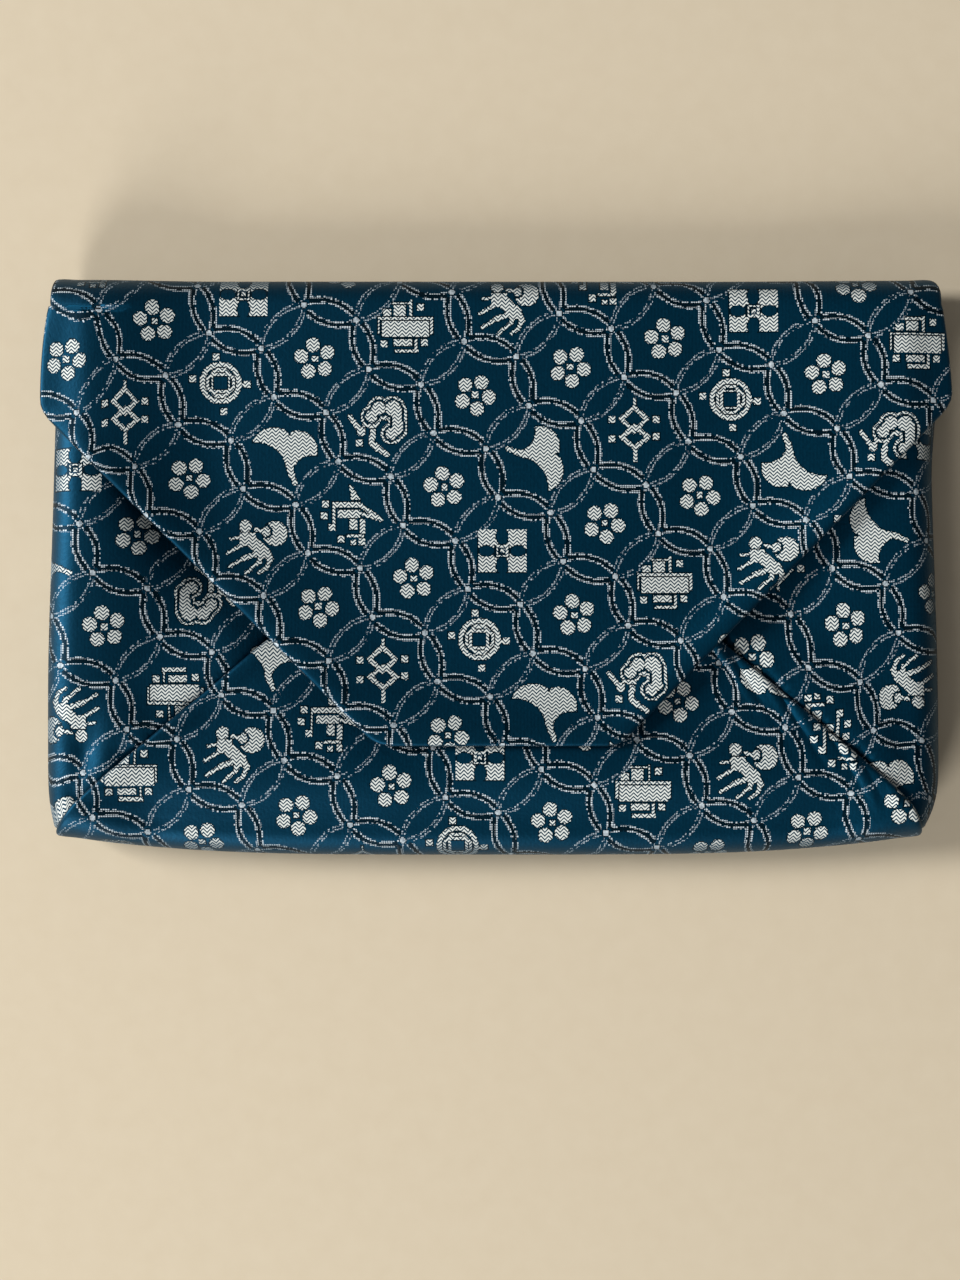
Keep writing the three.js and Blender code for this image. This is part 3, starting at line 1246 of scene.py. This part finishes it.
# A ginkgo leaf: two lobes with a notch between them, cut in from below by two
# round hollows, on a bent stalk. It is also woven upside down and lying over.
GINKGO = """
over = 1 - 2 * same(j % 4, 2)
lying = same(kind, 9)
gx = over * x + lying * (y - over * x)
gy = over * y + lying * (x - over * y)
lobes = min(disc(gx + 2.8, gy - 0.2, 5.9), disc(gx - 3.4, gy, 5.2))
hollows = max(8.3 - length(gx + 7.5, gy + 6), 5.3 - length(gx - 7.2, gy + 6.4))
leaf = max(lobes, hollows, 0 - max(abs(gx - 1.4) - 0.35, 3.9 - gy))
leaf = min(leaf, bar(gx, gy, 1.1, -3.8, 1.8, -6.2, 0.75),
           bar(gx, gy, 1.8, -6.2, 2.7, -8.3, 0.55))
leaf = leaf + 40 * (1 - same(kind, 6) - lying)
"""

# A crest of four squares with oval gaps between them and a dotted square inside
CREST = """
hx = abs(x + 1.8)
hy = abs(y)
crest = max(hx - 6.2, hy - 5.5, 2.0 - max(hx, hy * 1.15),
            1.7 - 1.7 * length((hx - 4.1) / 2.3, hy / 1.6),
            1.7 - 1.7 * length(hx / 1.75, (hy - 3.9) / 2.6))
crest = min(crest, band(max(hx, hy), 1.3, 0.26), max(hx, hy) - 0.45)
crest = cell(crest, kind, 3)
"""

# A coin: a ring, an eight-sided ring and a square hole's rim, with four dots
COIN = """
wx = x - 0.2
wy = y - 1.0
square = max(abs(wx), abs(wy))
eight = max(square, (abs(wx) + abs(wy)) * 0.74)
coin = min(band(length(wx, wy), 4.85, 0.6), band(eight, 3.4, 0.36), band(square, 2.2, 0.3),
           dot(x + 1.0, y - 7.9), dot(x - 7.1, y - 0.55), dot(x - 0.9, y + 6.4),
           dot(x + 7.2, y - 2.0), box(x - 6, y - 0.55, 0.7, 0.3))
coin = cell(coin, kind, 11)
"""

# Two lozenge rings, one on the other, with a tip at each end and four dots
LOZENGES = """
loz = min(abs((abs(x + 0.2) / 4.1 + abs(y - 3.1) / 3.9 - 0.81) * 2.83) - 0.54,
          abs((abs(x) / 4.3 + abs(y + 1.6) / 3.5 - 0.8) * 2.71) - 0.54,
          box(x, y - 7.7, 0.3, 0.8), box(x - 0.1, y + 6.6, 0.4, 1.5),
          dot(x + 6.1, y - 2.9), dot(x + 5.9, y + 2.1),
          dot(x - 5.6, y - 3.2), dot(x - 5.6, y + 1.4))
loz = cell(loz, kind, 10)
"""

# A rolled scroll on a stand: a wide bar in a bracket, blocks over and under it
SCROLL = """
scroll = min(box(x + 1.15, y - 0.5, 6.2, 2.1), box(x + 1.4, y - 3.25, 7.0, 0.27),
             box(x - 5.6, y - 1.3, 0.28, 2.2), box(x + 8.2, y - 1.3, 0.28, 2.2),
             box(x + 2.7, y - 5.2, 1.5, 1.3), box(x + 6, y - 4.8, 1.0, 0.8),
             box(x + 2.4, y - 7.2, 2.2, 0.25), box(x - 0.2, y - 5.8, 0.28, 2.0),
             box(x + 1.9, y + 3.1, 2.4, 0.85), box(x - 1.5, y + 3.7, 0.3, 1.5),
             box(x + 1, y + 5.3, 3.0, 0.5), dot(x - 2.6, y - 6.2),
             dot(x + 6.7, y + 3.3), dot(x - 3.6, y + 3.1))
scroll = cell(scroll, kind, 13)
"""

# A leaping lion with its head to the left and a great curled tail
LION = """
tail = max(disc(x - 5.5, y - 2.4, 3.2), 0.35 - abs(length(x - 3.0, y - 2.9) - 1.6))
lion = min(disc(x + 2.2, y - 4.2, 1.6), box(x + 1.6, y - 0.8, 1.9, 1.7),
           bar(x, y, -1.4, 1.0, 2.7, -2.6, 1.5), tail,
           disc(x - 2.9, y - 2.9, 0.9), bar(x, y, 0.4, 3.4, 2.4, 2.9, 0.45),
           bar(x, y, -3.2, 1.3, -6, 0.9, 0.32), bar(x, y, -2.8, -0.6, -6.6, -2.8, 0.42),
           bar(x, y, 0.9, -3, -2.6, -4.3, 0.65), bar(x, y, -2.6, -4.3, -6.1, -6.4, 0.42),
           bar(x, y, 3.4, -2.4, 4.3, -4.5, 0.75), bar(x, y, 4.3, -4.5, 3.4, -6.8, 0.5),
           bar(x, y, 3.4, -6.8, 1.5, -8, 0.38), bar(x, y, 2, -3, 1.5, -5.2, 0.6),
           bar(x, y, 1.5, -5.2, -1.8, -8, 0.38))
lion = cell(lion, kind, 14)
"""

# A pavilion: a spire, two roofs that sweep down to the right, posts and a base
PAVILION = """
fall = 7.9 - y
spire = max(abs(x - 0.2 - fall * 0.38) - 0.15 - fall * 0.27, max(0 - fall, fall - 3.8))
hall = min(spire, box(x + 0.6, y - 2.65, 3.5, 0.75), bar(x, y, 2.8, 2.6, 8.3, -1.2, 0.5),
           box(x, y - 0.35, 2.9, 0.9), bar(x, y, 2.6, 0.5, 7, -0.8, 0.45),
           box(x + 4, y - 0.5, 0.3, 2.8), box(x - 1.05, y + 2.4, 0.95, 1.4),
           box(x - 3.4, y + 2.9, 0.6, 2.0), box(x - 1.6, y + 5.4, 2.2, 0.33),
           box(x - 1, y + 7.2, 0.7, 0.6), box(x - 3.3, y + 7, 0.75, 0.8),
           dot(x + 6.1, y - 2.9), dot(x + 6.6, y + 0.2),
           dot(x + 4.5, y + 3.1), dot(x + 2.1, y + 6.3))
hall = cell(hall, kind, 15)
"""

# A cloud scroll: lobes round a curl, in a thin wavy outline, with a tail and a stalk
CLOUD = """
cloud = min(disc(x + 0.2, y - 3.9, 1.7), disc(x - 3.4, y - 3.8, 1.95),
            bar(x, y, 4.5, 3.2, 4.7, -1.7, 1.25), disc(x - 3.1, y + 2.8, 1.5),
            disc(x + 2.2, y - 1.7, 1.5), bar(x, y, -1.3, 3.4, -2.4, 2, 0.9))
cloud = min(cloud, abs(cloud - 0.95) - 0.27, disc(x - 1.3, y - 1.1, 0.5),
            bar(x, y, -7.8, 1.6, -5.5, -1.5, 0.55), disc(x + 4.8, y + 2.2, 1.15),
            dot(x + 5.2, y + 5.2), bar(x, y, -4.2, -0.6, -1.2, -1.0, 0.4),
            bar(x, y, -1.8, -2.2, -2.1, -5.2, 0.7), bar(x, y, -2.1, -5.2, -0.6, -6.6, 0.8),
            bar(x, y, -0.6, -6.6, 1.9, -8.2, 0.6))
cloud = cell(cloud, kind, 7)
"""

# What the weave shows: figure is 1 where pale threads lie on top and fill is 1 in
# the motifs alone; dark is 1 in the near-black edge beside them and between the
# ring lines. The ring lines are rows of beads, each one float of the pale thread,
# and some floats dip under, more of them along the short diagonal. The twill is a
# zigzag of crossings that dim the motifs; the real one is 0.5 mm, too fine to
# show, and is drawn coarser. Where the cloth turns from straight up round a fold
# the pale threads are dimmed as well, a painted shade set by the normal's Z. grain
# is the ground's fine cross ribs, one to each 0.9 mm, with single floats among them.
FIGURES = """
motif = min(plum, leaf, crest, coin, loz, scroll, lion, hall, cloud)
fleck = fract(sin(floor(u / bead_step) * 12.9898 + floor(v / bead_step) * 78.233) * 43758.5453)
bead = max(abs(fract(u / bead_step) - 0.5), abs(fract(v / bead_step) - 0.5))
shown = max(more(fleck, 0.15 + 0.1 * short) * less(bead, 0.35), less(knot, 0))
fill = less(motif, 0)
figure = max(fill, less(min(line, knot), 0) * shown)
dark = max(less(min(motif, knot), edge), less(between, 0))
zigzag = abs(fract(u / 2) - 0.5) * 2
hatch = less(fract((v + zigzag) / twill), 0.46)
crossing = fill * hatch + (1 - fill) * (0.35 * fleck + 0.2 * short + 0.2 * less(knot, 0))
crossing = max(crossing, 0.75 * turned)
grain = 0.5 * fleck + 0.5 * abs(fract(u / 0.9) - 0.5) * 2
"""

# All formulas in the order in which they are worked out.
WEAVE = LATTICE + RINGS + PLUM + GINKGO + CREST + COIN + LOZENGES + SCROLL + LION
WEAVE += PAVILION + CLOUD + FIGURES


class Loom:
    """Works formulas out on the flat cloth's u and v with Math nodes.

    A formula is an assignment such as "d = max(abs(x) - 2, y, 0)". Its names are
    values worked out before, its functions are Math nodes or the shapes above,
    min and max take any number of parts, and what was worked out once is used
    again.
    """

    SUMS = {ast.Add: "ADD", ast.Sub: "SUBTRACT", ast.Mult: "MULTIPLY",
            ast.Div: "DIVIDE", ast.Mod: "FLOORED_MODULO"}
    WORKS = {"abs": "ABSOLUTE", "min": "MINIMUM", "max": "MAXIMUM", "sqrt": "SQRT",
             "floor": "FLOOR", "fract": "FRACT", "atan2": "ARCTAN2", "sin": "SINE",
             "cos": "COSINE", "less": "LESS_THAN", "more": "GREATER_THAN",
             "same": "COMPARE", "held": "ADD"}
    PLAIN = {"ADD": lambda a, b: a + b, "SUBTRACT": lambda a, b: a - b,
             "MULTIPLY": lambda a, b: a * b, "DIVIDE": lambda a, b: a / b}

    def __init__(self, tree: bpy.types.NodeTree, values: dict[str, object]) -> None:
        """Starts with an empty cloth.

        Args:
            tree: the node tree that gets the nodes.
            values: the values known so far, by name.
        """
        self.tree = tree
        self.values = dict(values)
        self.known: dict[tuple, bpy.types.NodeSocket] = {}

    def weave(self, lines: str) -> None:
        """Works out formulas in order, each kept under its name."""
        for line in ast.parse(lines).body:
            self.values[line.targets[0].id] = self.work(line.value, self.values)

    def work(self, part: ast.expr, names: dict[str, object]) -> object:
        """Works out one part of a formula.

        Args:
            part: the part.
            names: the values that it may name.

        Returns:
            A number, or the output socket that holds it.
        """
        if isinstance(part, ast.Constant):
            return float(part.value)
        if isinstance(part, ast.Name):
            return names[part.id]
        if isinstance(part, ast.UnaryOp):
            return self.math("MULTIPLY", self.work(part.operand, names), -1.0)
        if isinstance(part, ast.BinOp):
            sides = self.work(part.left, names), self.work(part.right, names)
            return self.math(self.SUMS[type(part.op)], *sides)
        given = [self.work(one, names) for one in part.args]
        if part.func.id in SHAPES:
            inputs, formula = SHAPES[part.func.id]
            return self.work(ast.parse(formula).body[0].value, dict(zip(inputs.split(), given)))
        work = self.WORKS[part.func.id]
        if part.func.id in ("min", "max"):
            return functools.reduce(functools.partial(self.math, work), given)
        return self.math(work, *given, held=part.func.id == "held")

    def math(self, work: str, *given: object, held: bool = False) -> object:
        """One sum: a plain number if all that goes in is, and otherwise a Math node.

        Args:
            work: the Math node's operation.
            given: what goes in.
            held: whether the result is held between 0 and 1.

        Returns:
            The number or the socket.
        """
        if work in self.PLAIN and len(given) == 2 and all(isinstance(g, float) for g in given):
            return self.PLAIN[work](*given)
        if work in ("ADD", "SUBTRACT") and given[-1] == 0.0 and not held:
            return given[0]
        key = (work, held) + tuple(g if isinstance(g, float) else g.as_pointer() for g in given)
        if key not in self.known:
            links = dict(enumerate(given))
            if work == "COMPARE":
                links[2] = 0.5
            if held:
                links[1] = 0.0
            node = add(self.tree, "ShaderNodeMath", links, operation=work, use_clamp=held)
            self.known[key] = node.outputs[0]
        return self.known[key]


@dataclass(frozen=True)
class SilkBrocade:
    """Silk brocade, woven: a dark blue satin ground with pale figures floated on it.

    Satin's long blue floats lie nearly flat. Seen from straight above they are
    close to black, and where the cloth turns to the light they shine blue in a
    broad soft band: a dark base colour under a blue specular tint. The figures'
    paper-gold and silk threads are duller and stay pale in the shade, a little
    warmer in the motifs than in the single lines. Where blue threads bind the pale
    ones, at the twill's crossings, they show a duller colour, and the same colour
    also lays a painted shade on the pale threads round the folds. The edge is the
    near-black gap about a figure.
    The weave's bumps are 0.9 mm apart, where the real ones, of about 0.3 mm, are
    too fine to show.
    """

    name: str = "silk_brocade_woven"
    ground: str = "#011019"
    ground_floats: str = "#021d2a"
    line_thread: str = "#e6f0f4"
    motif_thread: str = "#ebeee6"
    crossing: str = "#143546"
    edge: str = "#010a0f"
    shine: str = "#06a8e8"
    edge_shine: str = "#04658c"
    index: float = 1.6
    specular_level: float = 0.72
    ground_roughness: float = 0.53
    thread_roughness: float = 0.68
    weave_step: float = 0.9
    weave_height: float = 0.05
    lattice: RingLattice = field(default_factory=RingLattice)

    def material(self) -> bpy.types.Material:
        """Makes the material, its pattern by formula on the flat cloth's u and v.

        Returns:
            The material.
        """
        material, tree, shader = fresh_material(self.name)
        place = add(tree, "ShaderNodeUVMap", uv_map="cloth")
        parts = add(tree, "ShaderNodeSeparateXYZ", {0: place.outputs["UV"]})
        # The painted shade round the folds, read from the mesh's attribute.
        turned = add(tree, "ShaderNodeAttribute", attribute_name="turned")
        loom = Loom(tree, {"u": parts.outputs["X"], "v": parts.outputs["Y"],
                           "turned": turned.outputs["Fac"], **self.lattice.values()})
        loom.weave(WEAVE)
        loom.weave(f"rough = {self.ground_roughness} + figure * "
                   f"{self.thread_roughness - self.ground_roughness}")
        worked = loom.values
        colour = linear(self.ground)
        for share, over in (("grain", self.ground_floats), ("dark", self.edge)):
            mix = add(tree, "ShaderNodeMix", {"Factor": worked[share], 6: colour,
                                              7: linear(over)}, data_type="RGBA")
            colour = mix.outputs[2]
        # Pale threads: warmer in the motifs, duller at the twill's crossings, and darker under
        # the painted fold shade.
        thread = linear(self.line_thread)
        for share, over in (("fill", self.motif_thread), ("crossing", self.crossing)):
            mix = add(tree, "ShaderNodeMix", {"Factor": worked[share], 6: thread,
                                              7: linear(over)}, data_type="RGBA")
            thread = mix.outputs[2]
        woven = add(tree, "ShaderNodeMix", {"Factor": worked["figure"], 6: colour, 7: thread},
                    data_type="RGBA")
        shine = add(tree, "ShaderNodeMix", {"Factor": worked["dark"], 6: linear(self.shine),
                                            7: linear(self.edge_shine)}, data_type="RGBA")
        tree.links.new(woven.outputs[2], shader.inputs["Base Color"])
        tree.links.new(shine.outputs[2], shader.inputs["Specular Tint"])
        tree.links.new(worked["rough"], shader.inputs["Roughness"])
        weave = add(tree, "ShaderNodeTexNoise", {"Vector": place.outputs["UV"],
                                                 "Scale": 1 / self.weave_step, "Detail": 1.0})
        bump = add(tree, "ShaderNodeBump", {"Height": weave.outputs[0], "Strength": 1.0,
                                            "Distance": self.weave_height * MM})
        tree.links.new(bump.outputs[0], shader.inputs["Normal"])
        shader.inputs["IOR"].default_value = self.index
        shader.inputs["Specular IOR Level"].default_value = self.specular_level
        log.info("%s: %d nodes", self.name, len(tree.nodes))
        return material


@dataclass(frozen=True)
class WovenPlain:
    """A plain stuff of fine crossing threads or fibres, matt, with a soft grain.

    The eye sees one colour that varies a little from thread to thread, and no
    shine. Its pattern is a noise on Object coordinates, its grain in mm.
    """

    name: str
    colour: str
    darker: str
    roughness: float
    grain: float
    height: float

    def material(self) -> bpy.types.Material:
        """Makes the material: two near colours mixed by the noise, which also bumps it.

        Returns:
            The material.
        """
        material, tree, shader = fresh_material(self.name)
        place = add(tree, "ShaderNodeTexCoord")
        noise = add(tree, "ShaderNodeTexNoise", {"Vector": place.outputs["Object"],
                                                 "Scale": 1 / (self.grain * MM), "Detail": 2.0})
        mix = add(tree, "ShaderNodeMix", {"Factor": noise.outputs[0], 6: linear(self.colour),
                                          7: linear(self.darker)}, data_type="RGBA")
        bump = add(tree, "ShaderNodeBump", {"Height": noise.outputs[0], "Strength": 1.0,
                                            "Distance": self.height * MM})
        tree.links.new(mix.outputs[2], shader.inputs["Base Color"])
        tree.links.new(bump.outputs[0], shader.inputs["Normal"])
        shader.inputs["Roughness"].default_value = self.roughness
        return material


# The lining isn't seen in the photograph: plain dark blue silk, a shade duller than
# the ground, with threads of about 0.3 mm drawn 0.8 mm coarse so that they show.
LINING = WovenPlain("silk_lining_plain_woven", "#0c2c3d", "#081f2c", 0.6, 0.8, 0.03)

# The floor: pale warm paper, matt and even.
PAPER = WovenPlain("floor_paper_matt", "#dfd0b5", "#dacaae", 0.9, 6.0, 0.02)


@dataclass(frozen=True)
class SoftWindow:
    """A square area lamp that faces the pouch: its place and size in m, power in W."""

    name: str
    place: tuple[float, float, float]
    size: float
    power: float

    def build(self) -> None:
        """Makes the lamp and turns it to the pouch."""
        lamp = bpy.data.lights.new(self.name, "AREA")
        lamp.size = self.size
        lamp.energy = self.power
        made = bpy.data.objects.new(self.name, lamp)
        made.location = self.place
        made.rotation_euler = (-Vector(self.place)).to_track_quat("-Z", "Y").to_euler()
        bpy.context.collection.objects.link(made)


@dataclass(frozen=True)
class PaleRoom:
    """The plain pale floor, the even pale light of the room and its two soft windows."""

    floor_size: float = 3.0
    air: str = "#f4f4f6"
    air_strength: float = 0.17
    windows: tuple[SoftWindow, ...] = (
        SoftWindow("window_left", (-2.6, 0.6, 1.3), 0.9, 102.0),
        SoftWindow("window_front", (-1.3, -2.4, 1.1), 1.1, 68.0),
    )

    def build(self) -> None:
        """Makes the floor, the world and the lamps."""
        bpy.ops.mesh.primitive_plane_add(size=self.floor_size)
        floor = bpy.context.object
        floor.name = "floor"
        floor.data.materials.append(PAPER.material())
        world = bpy.data.worlds.new("pale_room")
        bpy.context.scene.world = world
        world.use_nodes = True
        back = world.node_tree.nodes["Background"]
        back.inputs["Color"].default_value = linear(self.air)
        back.inputs["Strength"].default_value = self.air_strength
        for window in self.windows:
            window.build()


@dataclass(frozen=True)
class OverheadCamera:
    """The camera straight above the pouch, as the photograph was taken.

    The photograph has so many rows of pixels and shows so many mm a pixel at the
    flap's height, its level. Its middle stands over centre, and the camera is
    above that by its distance, all in mm.
    """

    rows: int = 1280
    scale: float = 0.26
    level: float = 16.0
    distance: float = 520.0
    centre: tuple[float, float] = (-4.68, -19.0)
    sensor: float = 36.0

    def build(self) -> None:
        """Makes the camera: its lens takes in rows * scale mm at its distance."""
        camera = bpy.data.cameras.new("camera")
        camera.sensor_width = self.sensor
        camera.lens = self.sensor * self.distance / (self.scale * self.rows)
        made = bpy.data.objects.new("camera", camera)
        height = self.distance + self.level
        made.location = (self.centre[0] * MM, self.centre[1] * MM, height * MM)
        bpy.context.collection.objects.link(made)
        bpy.context.scene.camera = made


def main() -> None:
    """Loads the frame and builds the pouch, its room and its camera."""
    logging.basicConfig(level=logging.INFO, format="%(name)s: %(message)s")
    bpy.ops.object.select_all(action="SELECT")
    bpy.ops.object.delete()
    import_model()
    bpy.context.scene.view_settings.view_transform = "Standard"
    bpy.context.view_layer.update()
    pouch = PouchCloth()
    places, triangles = pouch.middle()
    thick = ThickCloth(places, triangles, pouch.form.half, pouch.hem_reach,
                       pouch.hem_fullness, pouch.rim_steps)
    points, flat, faces, kinds = thick.build()
    brocade = SilkBrocade().material()
    cloth = put_mesh("brocade_cloth", points, faces, flat, kinds, [brocade, LINING.material()])
    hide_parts(NODE)
    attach(cloth, BODY)
    log.info("%s: %d triangles", cloth.name, len(faces))
    PaleRoom().build()
    OverheadCamera().build()
    bpy.context.view_layer.update()


if __name__ == "__main__":
    main()
